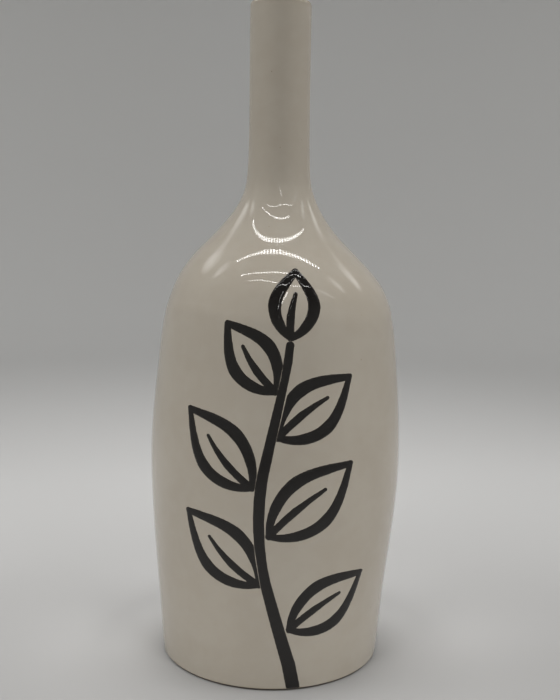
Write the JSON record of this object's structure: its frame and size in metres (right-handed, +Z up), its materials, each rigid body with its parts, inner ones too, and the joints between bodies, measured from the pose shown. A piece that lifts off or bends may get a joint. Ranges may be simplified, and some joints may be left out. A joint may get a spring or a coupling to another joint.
{
  "type": "bottle vase",
  "caption": "Tall bottle vase: broad rounded belly, soft shoulder and long slim neck with a rounded lip, ivory glaze and a black brushed leaf sprig.",
  "frame": {"origin": "centre of the foot ring, on the plane the vase stands on", "axes": "+Z up along the vase's axis, -Y towards the painted front, +X to the viewer's right"},
  "size_m": [0.1172, 0.1174, 0.3],
  "materials": {
    "stoneware": "bare fired stoneware, fine matte grain",
    "luting_slip": "fired slip, matte",
    "ivory_glaze": "glossy ivory glaze, faintly mottled",
    "liner_glaze": "glossy ivory liner glaze",
    "black_brushwork": "brushed black underglaze line, glossy"
  },
  "bodies": {
    "root": {"floor_slab": "stoneware", "belly_wall": "stoneware", "shoulder_cone": "stoneware", "neck_tube": "stoneware", "floor_slip_seam": "luting_slip", "shoulder_slip_seam": "luting_slip", "neck_slip_seam": "luting_slip", "outer_glaze": "ivory_glaze", "liner_glaze": "liner_glaze", "stem_stroke": "black_brushwork", "leaf_stroke_1": "black_brushwork", "leaf_stroke_2": "black_brushwork", "leaf_stroke_3": "black_brushwork", "leaf_stroke_4": "black_brushwork", "leaf_stroke_5": "black_brushwork", "leaf_stroke_6": "black_brushwork", "leaf_stroke_7": "black_brushwork"}
  },
  "joints": []
}
